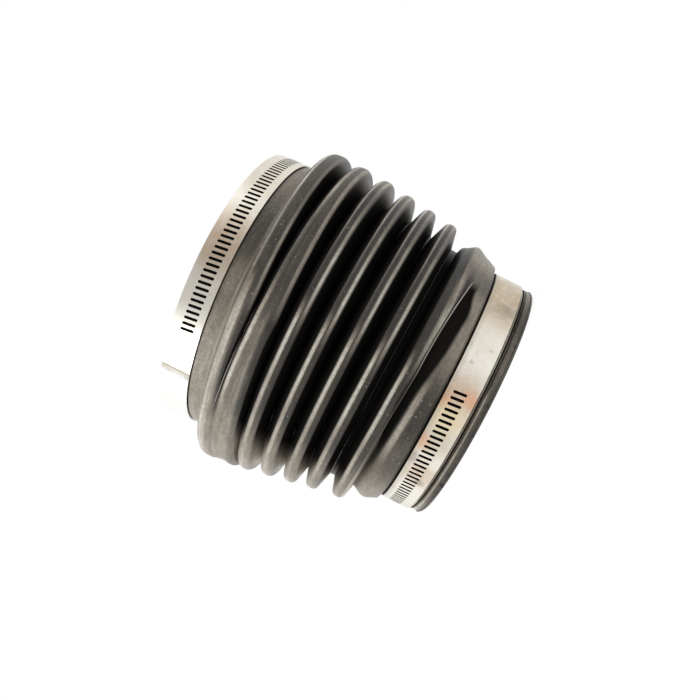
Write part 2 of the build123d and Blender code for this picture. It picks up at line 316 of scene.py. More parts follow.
# ---------------------------------------------------------------- boot rubber
# places on the boot, in millimetres
LIT_SIDE = (-58.0, -38.0)  # span of X over which the painted light on the -X side ends
CREASE_HEIGHT = 31.4  # crease between the collar and the folds, where X is 0
CREASE_SLOPE = 0.06  # its rise for each millimetre towards -X
CREASE_BEND = 0.0021  # its drop towards +X, where it is multiplied by X squared
RIM_TOP = 6.0  # upper edge of the rim beyond the small clamp
RIM_HIGHLIGHT = 3.3  # painted highlight line around the rim
RIM_GROOVE = 4.7  # groove around the rim
SMALL_SEAT = (5.8, 19.0)  # heights that the small clamp shades
SMALL_OUTSIDE = 55.5  # radius beyond which a place is on the small cuff's outside
LARGE_SEAT = (-12.95, -0.3)  # span that the large clamp shades, from the large end's face
LARGE_OUTSIDE = 64.0  # radius beyond which a place is on the large cuff's outside
PARTING_LINES = (5.5, 7.0)  # parting lines above the end fold's plane
# scuffed spots: place in millimetres and reach
SCUFFS = (((32.7, -54.8, 116.1), 7.0), ((21.5, -59.0, 23.5), 4.0))
TONE_POWER = 2.2  # from tones that look evenly spaced to reflectance


def fold_plane(rubber, height, lean, shift=0.0):
    """Normal of a fold's plane and the plane's distance along it, in millimetres."""
    middle = math.tan(rubber.middle_lean) * (height - rubber.small_cuff_top) + shift
    normal = Vector((math.sin(lean), 0.0, math.cos(lean)))
    return normal, normal.dot(Vector((middle, 0.0, height))) / MM


def narrow_folds(rubber):
    """Planes of the first fold and of the equal folds after it."""
    planes = [fold_plane(rubber, rubber.first_fold, rubber.first_lean, rubber.first_shift)]
    for number in range(rubber.equal_folds):
        height = rubber.second_fold + number * rubber.pitch
        planes.append(fold_plane(rubber, height, rubber.second_lean + number * rubber.lean_step))
    return planes


def nearest(offsets, middle):
    """Distance between a middle and the nearest of some offsets."""
    gap = abs(offsets[0] - middle)
    for offset in offsets[1:]:
        gap = gap.least(abs(offset - middle))
    return gap


def across(value, middle, inner, outer):
    """1 within inner of a middle, 0 beyond outer."""
    return abs(value - middle).fall(inner, outer)


def towards(low, high, share):
    """From low to high as the share goes from 0 to 1."""
    return low + (high - low) * share


class Boot:
    """Places on the boot in millimetres: across it, up it, from its axis and above its folds' planes."""

    def __init__(self, finish, rubber):
        self.finish = finish
        self.place = finish.place()
        self.side = finish.along(self.place, (1.0, 0.0, 0.0))
        self.height = finish.along(self.place, (0.0, 0.0, 1.0))
        start = (0.0, 0.0, rubber.small_cuff_top / MM)
        axis = (math.sin(rubber.middle_lean), 0.0, math.cos(rubber.middle_lean))
        self.radius = finish.from_axis(self.place, start, axis)
        self.first, *self.equal = [self.above(plane) for plane in narrow_folds(rubber)]
        self.wide_low = self.above(fold_plane(rubber, rubber.wide_low, rubber.wide_low_lean))
        self.wide_high = self.above(fold_plane(rubber, rubber.wide_high, rubber.wide_high_lean))
        self.end = self.above(fold_plane(rubber, rubber.end_fold, rubber.end_lean))
        self.face = self.above(fold_plane(rubber, rubber.large_face, rubber.large_lean))
        # the first fold's upper edge lies higher towards -X than its plane does
        self.first_edge = self.first + self.level(-0.95, (-50.0, -20.0, 0.6), (-16.0, 0.0, 0.35))
        drop = self.side.least(0.0) * CREASE_SLOPE + self.side.most(0.0).power(2.0) * CREASE_BEND
        self.below_crease = CREASE_HEIGHT - drop - self.height

    def above(self, plane):
        """How far a place lies above a fold's plane."""
        normal, offset = plane
        return self.finish.along(self.place, tuple(normal)) - offset

    def level(self, start, *steps):
        """A value across the boot: its start at -X, then each smooth change from one X to another."""
        value = start
        for low, high, change in steps:
            value = self.side.rise(low, high) * change + value
        return value


def narrow_tone(boot):
    """Narrow folds: a painted highlight line towards each end of a darker tip, with painted light towards -X
    and near the outlines.
    """
    # where the painted highlight lines show: bright towards +X, pale towards -X
    bright = boot.level(0.0, (-14.0, 12.0, 1.0), (22.0, 36.0, -0.3), (38.0, 52.0, -0.2))
    pale = boot.level(0.15, (-60.0, -44.0, 0.45), (-44.0, -14.0, 0.4), (-6.0, 9.0, -1.0))
    # painted light: lighter towards -X, and again beyond X of 56
    tone = boot.level(0.635, (-72.0, -56.0, -0.12), (*LIT_SIDE, -0.26), (-30.0, -5.0, -0.03), (56.0, 70.0, 0.2))
    tone = tone - across(boot.side, 50.0, 5.0, 12.0) * 0.06
    tone = tone + nearest(boot.equal, -1.5).fall(0.2, 1.1) * bright * 0.50
    tone = tone + nearest(boot.equal, 0.55).fall(0.35, 1.15) * pale * 0.50
    tone = tone + nearest(boot.equal, 1.5).fall(0.2, 0.8) * boot.level(0.0, (18.0, 52.0, 0.36))
    # painted light on the valleys' flanks near the outlines
    flanks = boot.level(0.26, (-68.0, -54.0, -0.26), (56.0, 68.0, 0.26))
    tone = tone + nearest(boot.equal, -4.4).fall(0.6, 1.6) * flanks
    tone = tone + across(boot.first, -3.6, 0.5, 2.1) * bright * 0.58
    tone = tone + across(boot.first_edge, 0.25, 0.4, 1.2) * pale * 0.50
    return tone + across(boot.first, -4.0, 0.5, 1.8) * boot.level(0.22, (-26.0, -12.0, -0.22))


def broad_tone(boot):
    """Wide fold, end fold and large cuff: painted shade on the undersides, painted highlights along the
    edges and painted light towards -X.
    """
    low, end = boot.wide_low, boot.end
    high = boot.wide_high + boot.level(-0.5, (-36.0, -14.0, 0.5))
    tone = boot.level(0.56, (*LIT_SIDE, -0.11), (-16.0, 4.0, -0.18))
    # painted shade on the undersides of the wide fold's lower lobe and of the end fold
    tone = tone - across(low, -1.2, 0.6, 2.6) * boot.level(0.11, (*LIT_SIDE, 0.11), (-12.0, -2.0, -0.22))
    tone = tone - across(end, -2.2, 0.5, 1.7) * boot.level(0.0, (*LIT_SIDE, 0.20), (-14.0, -3.0, -0.20))
    # painted highlights along the edges
    tone = tone + across(low, -2.1, 0.3, 1.1) * boot.level(0.0, (-12.0, 10.0, 0.30))
    edge = boot.level(0.0, (-50.0, -34.0, 0.28), (0.0, 10.0, -0.18), (30.0, 52.0, 0.2))
    tone = tone + across(high, 0.8, 0.3, 1.2) * edge
    tone = tone + across(end, -2.8, 0.25, 0.9) * boot.level(0.0, (-12.0, 6.0, 0.30), (24.0, 38.0, -0.135))
    tone = tone + across(end, 2.2, 0.2, 0.85) * boot.level(0.20, (30.0, 54.0, 0.25))
    tone = tone + across(end, 0.8, 0.4, 1.3) * boot.level(0.13, (-44.0, -18.0, 0.13), (0.0, 9.0, -0.26))
    cuff = boot.level(0.59, (-26.0, -8.0, -0.10), (2.0, 15.0, -0.19), (22.0, 52.0, 0.2))
    return towards(tone, cuff, end.rise(3.6, 4.8))


def collar_tone(boot):
    """Collar below the crease, with a painted highlight along a ridge, and a pale edge of painted light on
    the -X side.
    """
    tone = boot.level(0.58, (-56.0, -38.0, -0.23), (-34.0, -20.0, -0.10), (-14.0, 14.0, 0.29))
    tone = tone + boot.level(0.0, (36.0, 42.0, -0.13), (46.0, 56.0, 0.16))
    # painted highlight along the collar's ridge
    ridge = boot.level(0.0, (-46.0, -18.0, 0.36), (-12.0, 3.0, -0.36))
    tone = tone + across(boot.below_crease, 5.4, 0.5, 2.1) * ridge
    # pale edge of painted light next to the crease, on the -X side
    return tone + boot.below_crease.fall(0.6, 1.8) * boot.level(0.22, (-48.0, -26.0, -0.22))


def rim_tone(boot):
    """Rim beyond the small clamp, with a painted highlight line, a pale upper part and painted light towards
    -X.
    """
    tone = boot.level(0.58, (*LIT_SIDE, -0.26), (0.0, 16.0, 0.08), (26.0, 36.0, -0.08), (40.0, 54.0, 0.22))
    # painted highlight line around the rim
    tone = tone + across(boot.height, RIM_HIGHLIGHT, 0.25, 0.7) * boot.level(0.34, (0.0, 10.0, -0.34))
    return tone + boot.height.rise(4.9, 5.2) * 0.25


def rubber_tone(boot):
    """Evenly spaced brightness of the rubber, from the rim to the large cuff, with its painted light,
    highlights and shade.
    """
    tone = towards(narrow_tone(boot), broad_tone(boot), boot.wide_low.rise(-3.6, -2.9))
    beyond_crease = boot.side.rise(40.0, 48.0) * boot.first.fall(-4.2, -2.4)
    tone = towards(tone, collar_tone(boot), boot.below_crease.rise(-0.2, 0.3).most(beyond_crease))
    return towards(tone, rim_tone(boot), boot.height.fall(RIM_TOP - 0.1, RIM_TOP + 0.1))


def shaded(boot):
    """1 where shade is painted black: between folds, under the crease, in the groove and under the clamps.
    """
    # painted shade in the valleys of the narrow folds, fading out towards the outlines at ±X
    valleys = nearest(boot.equal, -0.4) + boot.level(0.0, (36.0, 58.0, -0.4))
    valleys = valleys.rise(1.75, 2.35) * boot.first_edge.rise(0.8, 1.7)
    valleys = valleys * (boot.wide_low + boot.level(-0.8, (-20.0, -4.0, 0.8))).fall(-3.1, -2.5)
    valleys = valleys * boot.level(0.0, (-62.0, -48.0, 1.0), (44.0, 62.0, -1.0))
    # painted shade in the valley between the wide fold and the end fold
    gap = (boot.end + boot.level(-1.1, (-36.0, 0.0, 1.1))).fall(-3.7, -3.1)
    gap = gap * (boot.wide_high + boot.level(-0.9, (-36.0, 0.0, 0.9))).rise(1.3, 1.9)
    gap = gap * boot.level(0.0, (-58.0, -48.0, 1.0), (52.0, 70.0, -1.0))
    # painted shade in the hollow under the crease, and a thin painted shadow line over it
    fold = (boot.below_crease + boot.level(-1.3, (-38.0, -22.0, 1.3))).rise(0.1, 0.45)
    lower = boot.below_crease + boot.level(0.0, (-12.0, 15.0, -2.7), (27.0, 41.0, 3.2))
    fold = fold * lower.fall(2.8, 4.7) * boot.level(0.15, (-56.0, -28.0, 0.85), (39.0, 45.0, -1.0))
    line = across(boot.below_crease, -0.45, 0.1, 0.35)
    line = line * boot.level(0.0, (-16.0, 4.0, 1.0), (36.0, 43.0, -1.0))
    # painted shade under the small clamp and in the rim's groove, then under the large clamp
    low, high = SMALL_SEAT
    small = boot.height.rise(low - 0.3, low) * boot.height.fall(high, high + 0.5)
    small = small.most(across(boot.height, RIM_GROOVE, 0.2, 0.48))
    small = small * boot.radius.rise(SMALL_OUTSIDE - 1.0, SMALL_OUTSIDE)
    low, high = LARGE_SEAT
    large = boot.face.rise(low - 0.3, low) * boot.face.fall(high, high + 0.2)
    large = large * boot.radius.rise(LARGE_OUTSIDE - 1.0, LARGE_OUTSIDE)
    return valleys.most(gap).most(fold).most(line).most(small).most(large)


def hairs(boot, streaks):
    """Thin pale hairlines along the valleys and the crease, and parting lines on the end fold."""
    lowest = boot.level(0.0, (-30.0, -20.0, 0.45), (46.0, 52.0, -0.45))
    hair = across(boot.equal[0], -4.7, 0.03, 0.13) * lowest
    torn = nearest(boot.equal, -4.9).fall(0.04, 0.16) * streaks.rise(0.38, 0.5)
    hair = hair.most(torn * boot.level(0.8, (-46.0, -30.0, -0.8)))
    crease = boot.level(0.45, (-6.0, 4.0, 0.4), (40.0, 44.5, -0.85))
    hair = hair.most(across(boot.below_crease, 0.0, 0.08, 0.26) * crease)
    highest = boot.level(0.0, (-52.0, -44.0, 0.9), (-12.0, -4.0, -0.9))
    hair = hair.most(across(boot.wide_high, 2.9, 0.06, 0.22) * highest)
    parting = streaks.rise(0.35, 0.5) * boot.level(0.0, (-48.0, -30.0, 0.35), (0.0, 8.0, -0.35))
    for height in PARTING_LINES:
        hair = hair.most(across(boot.end, height, 0.05, 0.2) * parting)
    return hair


def rubber_finish(rubber):
    """Finish of the boot: its tone with painted light and highlights turned to a colour, painted black
    shade, and hairs, dust and scratches on top.
    """
    finish = Finish.named("boot_rubber")
    boot = Boot(finish, rubber)
    place = boot.place
    # soft patches, streaks around the boot, fine grain and mottling
    cloud = finish.noise(place, 0.045, 4.0, 0.6)
    streaks = finish.noise(finish.stretched(place, (0.35, 0.35, 2.2)), 0.3, 3.0)
    grain = finish.noise(place, 2.2, 3.0)
    mottle = finish.noise(place, 0.7, 4.0, 0.7)
    uneven = 1.0
    for pattern, share in ((cloud, 0.24), (streaks, 0.4), (mottle, 0.5), (grain, 0.3)):
        uneven = (pattern - 0.5) * share + uneven
    tone = rubber_tone(boot) * uneven
    dark = shaded(boot)
    hair = hairs(boot, streaks)

    # specks of dust, fewer in the shade, and fine scratches on the scuffed spots
    dust = finish.specks(place, 0.45, 0.3, 0.28) * mottle.rise(0.4, 0.55)
    dust = dust.most(finish.specks(place, 0.9, 0.2, 0.4) * grain.rise(0.42, 0.55) * 0.9)
    large_scuff, small_scuff = [finish.near(place, spot, reach) for spot, reach in SCUFFS]
    scratches = finish.noise(finish.stretched(place, (3.0, 3.0, 0.5)), 0.9, 2.0).rise(0.58, 0.66)
    scratches = scratches * large_scuff.most(small_scuff)
    dust = dust.most(scratches * 0.5) * (1.0 - dark * 0.9)

    light = tone.power(TONE_POWER)
    black = (0.0, 0.0, 0.0)
    base = finish.mix(light, black, tuple(rubber.bloom))
    # the brightest tones take the highlight tint: these are the painted highlights and the painted light
    # towards -X
    base = finish.mix(tone.rise(0.5, 0.8), base, finish.mix(light, black, tuple(rubber.rubbed)))
    base = finish.mix(dust.most(hair), base, tuple(rubber.dust))
    finish.feed("Base Color", base)
    finish.feed("Roughness", cloud * 0.16 + dust * 0.2 + (rubber.roughness - 0.08))
    finish.feed("Specular IOR Level", rubber.gloss)
    finish.bump(grain * 0.5 + mottle * 0.6 + streaks * 0.6 - scratches, 0.045)
    # painted shade: matt near-black where the mask is 1, except on the hairs
    finish.shade(dark * (1.0 - hair) * 0.995, tuple(rubber.deep))
    return finish.material


class BOOT_OT_rubber(bpy.types.Operator):
    """Give the boot its moulded rubber, with painted shade in the valleys and painted highlights along the
    tips
    """

    bl_idname = "boot.rubber"
    bl_label = "Rubber"

    def execute(self, context):
        dress("bellows_boot", rubber_finish(context.scene.boot_rubber))
        return {"FINISHED"}


# ---------------------------------------------------------------- modelling helpers
DOUBLES = 1e-6  # metres within which vertices are one
SHARP = 40  # degrees from which an edge of steel stays sharp
TORN_SHARP = 30  # the same on torn flash
FLAT = 2  # degrees within which neighbouring faces are one


def clear_selection():
    """Leave edit mode and deselect everything."""
    if bpy.context.mode != "OBJECT":
        bpy.ops.object.mode_set(mode="OBJECT")
    bpy.ops.object.select_all(action="DESELECT")


def pick(*pieces):
    """Select only these pieces, the first of them active."""
    clear_selection()
    for piece in pieces:
        piece.select_set(True)
    bpy.context.view_layer.objects.active = pieces[0]


def edit(kind="FACE"):
    """Go into edit mode, to work on faces, edges or vertices."""
    bpy.ops.object.mode_set(mode="EDIT")
    bpy.ops.mesh.select_mode(type=kind)


def turned(name, rings, sides):
    """A closed turned shape along Z, extruded ring by ring from radii and heights."""
    clear_selection()
    radius, height = rings[0]
    spot = (0, 0, height)
    bpy.ops.mesh.primitive_circle_add(vertices=sides, radius=radius, fill_type="NGON", location=spot)
    piece = bpy.context.object
    piece.name = name
    edit()
    bpy.ops.mesh.select_all(action="SELECT")
    for new_radius, new_height in rings[1:]:
        shift = (0, 0, new_height - height)
        bpy.ops.mesh.extrude_region_move(TRANSFORM_OT_translate={"value": shift})
        share = new_radius / radius
        bpy.ops.transform.resize(value=(share, share, 1), center_override=(0, 0, new_height))
        radius, height = new_radius, new_height
    bpy.ops.mesh.select_all(action="SELECT")
    bpy.ops.mesh.normals_make_consistent(inside=False)
    bpy.ops.object.mode_set(mode="OBJECT")
    return piece


def apply_all(piece, matrix=None):
    """Apply a piece's modifiers and put its place into its mesh."""
    pick(piece)
    for modifier in list(piece.modifiers):
        bpy.ops.object.modifier_apply(modifier=modifier.name)
    if matrix is not None:
        piece.matrix_world = matrix @ piece.matrix_world
    bpy.ops.object.transform_apply(location=True, rotation=True, scale=True)


def merged(piece):
    """Merge doubled vertices and turn all faces outwards."""
    pick(piece)
    edit()
    bpy.ops.mesh.select_all(action="SELECT")
    bpy.ops.mesh.remove_doubles(threshold=DOUBLES)
    bpy.ops.mesh.normals_make_consistent(inside=False)
    bpy.ops.object.mode_set(mode="OBJECT")


def joined(pieces, name):
    """Join pieces into the first one, under a new name."""
    pick(*pieces)
    bpy.ops.object.join()
    pieces[0].name = name
    return pieces[0]


def smooth(piece, degrees):
    """Shade smooth, except at edges sharper than an angle."""
    pick(piece)
    bpy.ops.object.shade_smooth_by_angle(angle=math.radians(degrees))


def dress(node, material):
    """Put a finish on a node of the frame."""
    piece = frame["nodes"][node]
    piece.data.materials.clear()
    piece.data.materials.append(material)


def wear(piece, material, body):
    """Give a new piece its finish and the body that it rides on."""
    piece.data.materials.clear()
    piece.data.materials.append(material)
    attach(piece, body)


# ---------------------------------------------------------------- moulding flash
# torn-off nubs: degrees around the rim, share of the nub's size
NUBS = ((-89.7, 0.8), (-103.2, 0.65), (-123.6, 0.7), (-130.3, 1.0), (-62.0, 0.5), (40.0, 0.9))
TORN = 0.2  # how far torn edges wander, in shares of the flash's reach
LUMPY = 0.12  # how far nubs are out of round, in shares of their size


def flash_skirt(flash):
    """Thin torn skirt along the parting line, its outer edge in small teeth."""
    clear_selection()
    middle = (0, 0, flash.height)
    bpy.ops.mesh.primitive_circle_add(vertices=2 * flash.teeth, radius=flash.radius, location=middle)
    skirt = bpy.context.object
    edit("VERT")
    bpy.ops.mesh.select_all(action="SELECT")
    bpy.ops.mesh.extrude_region_move()
    share = 1 + flash.reach / flash.radius
    bpy.ops.transform.resize(value=(share, share, 1), center_override=middle)
    bpy.ops.object.mode_set(mode="OBJECT")
    halfway = flash.radius + 0.5 * flash.reach
    for corner in skirt.data.vertices:
        outside = math.hypot(corner.co.x, corner.co.y) > halfway
        turn = math.atan2(corner.co.y, corner.co.x) / math.tau * 2 * flash.teeth
        corner.select = outside and round(turn) % 2 == 0
    edit("VERT")
    share = 1 - 0.5 * flash.reach / flash.radius
    bpy.ops.transform.resize(value=(share, share, 1), center_override=middle)
    bpy.ops.mesh.select_all(action="SELECT")
    bpy.ops.transform.vertex_random(offset=TORN * flash.reach, uniform=1.0, seed=4)
    bpy.ops.object.mode_set(mode="OBJECT")
    wall = skirt.modifiers.new("thickness", "SOLIDIFY")
    wall.thickness = flash.thickness
    apply_all(skirt)
    merged(skirt)
    return skirt


def flash_nubs(flash):
    """Torn-off nubs, at their places around the rim."""
    nubs = []
    for place, size in NUBS:
        turn = math.radians(place)
        spot = Vector((math.cos(turn), math.sin(turn), 0)) * flash.radius + Vector((0, 0, flash.height))
        clear_selection()
        bpy.ops.mesh.primitive_ico_sphere_add(subdivisions=2, radius=flash.nub * size, location=spot)
        nub = bpy.context.object
        edit("VERT")
        bpy.ops.mesh.select_all(action="SELECT")
        bpy.ops.transform.vertex_random(offset=LUMPY * flash.nub, uniform=1.0, seed=int(abs(place)))
        bpy.ops.object.mode_set(mode="OBJECT")
        apply_all(nub)
        nubs.append(nub)
    return nubs


class BOOT_OT_flash(bpy.types.Operator):
    """Model the moulding flash and its torn nubs around the small end's edge"""

    bl_idname = "boot.flash"
    bl_label = "Moulding flash"

    def execute(self, context):
        flash = context.scene.boot_flash
        piece = joined([flash_skirt(flash), *flash_nubs(flash)], "moulding_flash")
        smooth(piece, TORN_SHARP)
        wear(piece, bpy.data.materials["boot_rubber"], "boot")
        return {"FINISHED"}


# ---------------------------------------------------------------- steel finishes
# heat tints and smears on the bands, and painted shade over their +X side: place in millimetres, reach,
# colour and share
SMALL_BAND_MARKS = (
    # khaki oil film, darker as painted shade over the small band's +X side
    ((46.0, -35.0, 12.5), 34.0, "khaki_shade", 1.0),
    ((39.7, -42.0, 8.0), 6.0, "brown", 0.5),
    ((38.0, -43.5, 12.6), 7.0, "brown", 0.35),
    ((-2.0, -57.7, 13.0), 15.0, "beige", 1.0),
    ((-20.0, -54.0, 13.0), 14.0, "cream", 1.0),
    ((-4.5, -57.6, 18.0), 5.5, "orange", 0.9),
    ((-0.8, -57.7, 8.6), 5.5, "orange", 0.8),
    ((-11.1, -56.6, 12.8), 10.0, "straw", 0.8),
    ((-23.3, -52.8, 18.0), 6.0, "orange", 0.8),
    ((-31.1, -48.6, 18.1), 5.0, "brown", 0.8),
    ((-36.8, -44.5, 11.0), 11.0, "beige", 0.75),
    ((-40.1, -41.5, 9.6), 3.0, "brown", 0.6),
)
LARGE_BAND_MARKS = (
    # painted shade over the large band's +X side, in the cream of the oil film
    ((48.8, -41.1, 122.9), 34.0, "cream", 0.5),
    ((10.5, -64.9, 121.6), 21.0, "beige", 1.0),
)
# centre in millimetres, lean in degrees, outer radius, and along the axis from the centre: start and end
# of the slots, and the edge that lies in shade, which for the large band is beyond it
SMALL_BAND_LAYER = ((0.0, 0.0, 0.0), 0.0, 57.75, 9.6, 16.1, 18.45)
LARGE_BAND_LAYER = ((-2.716, 0.0, 127.2), -2.45, 65.85, -9.8, -3.9, 5.0)
# thin fold across the large band: degrees around the boot, and millimetres beside that direction
BAND_FOLD = (-128.5, -1.98)


def folded(finish, place, clamps, base, smear, where):
    """A thin fold across a band: painted shadow along it, soft painted shade beside it and a painted
    reflection of the white room beyond.
    """
    angle, shift = where
    turn = math.radians(angle)
    facing = finish.along(place, (math.cos(turn), math.sin(turn), 0.0)).rise(20.0, 30.0)
    offset = finish.along(place, (-math.sin(turn), math.cos(turn), 0.0)) - shift
    fold = across(offset, 0.0, 0.2, 0.9) * facing
    soft_shade = across(offset, -1.5, 0.9, 3.4) * smear.rise(0.2, 0.6) * facing
    # painted reflection of the white room beyond the fold, then painted shadow and shade in the smear brown
    base = finish.mix(offset.fall(-2.5, -1.5) * facing, base, tuple(clamps.white_reflection))
    base = finish.mix((soft_shade * 0.6).most(fold * 0.85), base, tuple(clamps.brown))
    return base, fold


def slotted(finish, place, clamps, base, layer):
    """Painted shade on the walls of a band's slots and on its shaded edge, and softer painted shade below
    that edge.
    """
    centre, lean, outside, low, high, edge = layer
    axis = (math.sin(math.radians(lean)), 0.0, math.cos(math.radians(lean)))
    along = finish.along(place, axis) - Vector(centre).dot(Vector(axis))
    # painted shade on the walls: inside the slots' ends and just under the band's outside
    walls = finish.from_axis(place, centre, axis).fall(outside - 0.12, outside - 0.04)
    walls = walls * along.rise(low - 0.1, low) * along.fall(high, high + 0.1)
    # softer painted shade below the shaded edge, in the smear brown
    base = finish.mix(along.rise(edge - 2.6, edge - 0.8) * 0.3, base, tuple(clamps.brown))
    return finish.mix(walls.most(along.rise(edge - 0.2, edge)), base, tuple(clamps.shadow))


def strip_finish(name, clamps, marks, layer, fold_place=None):
    """Finish of a band: rolled steel with its marks and painted shade, a fold across it where it has one
    with a painted reflection beyond, and its painted shade.
    """
    finish = Finish.named(name)
    place = finish.place()
    cloud = finish.noise(place, 0.07, 4.0, 0.6)
    smear = finish.noise(place, 0.28, 5.0, 0.65)
    rolled = finish.noise(finish.stretched(place, (0.25, 0.25, 9.0)), 0.8, 3.0)
    grain = finish.noise(place, 3.5, 2.0)
    base = finish.mix(cloud.rise(0.4, 0.75) * 0.45, tuple(clamps.steel), tuple(clamps.cream))
    for spot, reach, tint, share in marks:
        mask = finish.near(place, spot, reach) * (smear.rise(0.3, 0.6) * 0.3 + 0.7) * share
        base = finish.mix(mask, base, tuple(getattr(clamps, tint)))
    dirt = smear.rise(0.60, 0.72) * cloud.rise(0.45, 0.65)
    base = finish.mix(dirt * 0.35, base, tuple(clamps.brown))
    relief = rolled * 0.6 + grain * 0.25
    if fold_place is not None:
        base, fold = folded(finish, place, clamps, base, smear, fold_place)
        relief = relief + fold * 4.0
    finish.feed("Base Color", slotted(finish, place, clamps, base, layer))
    finish.feed("Metallic", 1.0)
    finish.feed("Roughness", cloud * 0.12 + dirt * 0.15 + rolled * 0.06 + (clamps.roughness - 0.05))
    finish.bump(relief, 0.012)
    return finish.material


def pressed_finish(name, clamps):
    """Dull pressed or machined steel."""
    finish = Finish.named(name)
    place = finish.place()
    cloud = finish.noise(place, 0.25, 4.0, 0.6)
    turning = finish.noise(finish.stretched(place, (1.0, 1.0, 6.0)), 1.4, 3.0)
    base = finish.mix(cloud.rise(0.35, 0.7) * 0.6, tuple(clamps.plated), tuple(clamps.cream))
    base = finish.mix(turning.rise(0.62, 0.75) * 0.3, base, tuple(clamps.brown))
    finish.feed("Base Color", base)
    finish.feed("Metallic", 1.0)
    finish.feed("Roughness", cloud * 0.15 + turning * 0.1 + 0.24)
    finish.bump(turning * 0.5 + cloud, 0.02)
    return finish.material


class BOOT_OT_bands(bpy.types.Operator):
    """Give the slotted bands their rolled steel, with heat tints, smears, painted shade and a painted
    reflection
    """

    bl_idname = "boot.bands"
    bl_label = "Clamp bands"

    def execute(self, context):
        clamps = context.scene.boot_clamps
        small = strip_finish("small_band_steel", clamps, SMALL_BAND_MARKS, SMALL_BAND_LAYER)
        dress("small_clamp_band", small)
        large = strip_finish("large_band_steel", clamps, LARGE_BAND_MARKS, LARGE_BAND_LAYER, BAND_FOLD)
        dress("large_clamp_band", large)
        return {"FINISHED"}


# ---------------------------------------------------------------- housings
class BOOT_OT_housings(bpy.types.Operator):
    """Model the pressed housings with rounded edges, in place of the plain ones"""

    bl_idname = "boot.housings"
    bl_label = "Clamp housings"

    def execute(self, context):
        clamps = context.scene.boot_clamps
        material = pressed_finish("housing_steel", clamps)
        for size in ("large", "small"):
            node = size + "_clamp_housing"
            pick(frame["nodes"][node])
            bpy.ops.object.duplicate()
            piece = bpy.context.object
            piece.name = size + "_worm_housing"
            merged(piece)
            edit()
            bpy.ops.mesh.select_all(action="SELECT")
            bpy.ops.mesh.dissolve_limited(angle_limit=math.radians(FLAT))
            bpy.ops.object.mode_set(mode="OBJECT")
            bevel = piece.modifiers.new("edge", "BEVEL")
            bevel.width = clamps.edge
            bevel.segments = 2
            bevel.limit_method = "ANGLE"
            bevel.angle_limit = math.radians(SHARP)
            apply_all(piece)
            smooth(piece, SHARP)
            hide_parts(node)
            wear(piece, material, "boot")
        return {"FINISHED"}


# ---------------------------------------------------------------- worm screws
THREAD_SUNK = 0.1 * MM  # how far the thread starts inside the worm
THREAD_FOOT = 0.9 * MM  # half of the thread's width there
THREAD_TOP = 0.35 * MM  # half of its width at the crest
THREAD_FREE = 2 * MM  # length of the worm without thread, at least
THREAD_STEPS = 32  # steps in a turn of the thread
SHANK_SIDES = 48  # sides of a turned shank
CHAMFER = 0.25 * MM  # on the ends of the journal and the collar
# rounding of the head's top, in millimetres: how far in, how far below the top
HEAD_ROUNDING = ((0.0, 0.5), (0.35, 0.15), (0.8, 0.0))


def worm_thread(clamps):
    """Right-hand thread: a trapezium swept round the worm."""
    clear_selection()
    inner, outer = clamps.worm_root - THREAD_SUNK, clamps.worm_crest
    bpy.ops.mesh.primitive_circle_add(vertices=4, radius=1.0, fill_type="NOTHING", location=(0, 0, 0))
    thread = bpy.context.object
    corners = ((inner, -THREAD_FOOT), (outer, -THREAD_TOP), (outer, THREAD_TOP), (inner, THREAD_FOOT))
    for vertex, (radius, height) in zip(thread.data.vertices, corners):
        vertex.co = (radius, 0.0, height)
    turns = int((clamps.worm_length - THREAD_FREE) / clamps.pitch)
    sweep = thread.modifiers.new("thread", "SCREW")
    sweep.angle = math.tau * turns
    sweep.screw_offset = clamps.pitch * turns
    sweep.iterations = 1
    sweep.steps = sweep.render_steps = THREAD_STEPS * turns
    apply_all(thread, Matrix.Translation((0, 0, -0.5 * clamps.pitch * turns)))
    edit("EDGE")
    bpy.ops.mesh.select_all(action="SELECT")
    bpy.ops.mesh.fill_holes(sides=4)
    bpy.ops.object.mode_set(mode="OBJECT")
    merged(thread)
    return thread


def screw_head(clamps):
    """Hexagon with a rounded top and a driver slot."""
    start = clamps.collar_start + clamps.collar_height
    corner = clamps.head_flats / math.sqrt(3)
    top = start + clamps.head_height
    rings = [(corner, start)]
    rings += [(corner - inwards * MM, top - down * MM) for inwards, down in HEAD_ROUNDING]
    head = turned("head", rings, 6)
    clear_selection()
    bpy.ops.mesh.primitive_cube_add(size=1, location=(0, 0, top))
    cutter = bpy.context.object
    cutter.scale = (4 * clamps.collar, clamps.slot_width, 2 * clamps.slot_depth)
    bpy.ops.object.transform_apply(location=True, rotation=True, scale=True)
    cut = head.modifiers.new("slot", "BOOLEAN")
    cut.operation = "DIFFERENCE"
    cut.object = cutter
    cut.solver = "EXACT"
    apply_all(head)
    bpy.data.objects.remove(cutter)
    return head


def worm_screw(name, clamps, centre, axis):
    """Shank, thread and head in one piece; the head's slot lies along the direction outwards."""
    half = 0.5 * clamps.worm_length
    collar_end = clamps.collar_start + clamps.collar_height
    rings = [
        (clamps.journal - CHAMFER, -clamps.journal_end),
        (clamps.journal, CHAMFER - clamps.journal_end),
        (clamps.journal, -half),
        (clamps.worm_root, -half),
        (clamps.worm_root, half),
        (clamps.neck, half),
        (clamps.neck, clamps.collar_start),
        (clamps.collar - CHAMFER, clamps.collar_start),
        (clamps.collar, clamps.collar_start + CHAMFER),
        (clamps.collar, collar_end),
    ]
    shank = turned("shank", rings, SHANK_SIDES)
    screw = joined([shank, worm_thread(clamps), screw_head(clamps)], name)
    outward = Vector((centre.x, centre.y, 0))
    outward = (outward - outward.dot(axis) * axis).normalized()
    turn = Matrix((outward, axis.cross(outward), axis)).transposed().to_4x4()
    apply_all(screw, Matrix.Translation(centre) @ turn)
    merged(screw)
    smooth(screw, SHARP)
    return screw


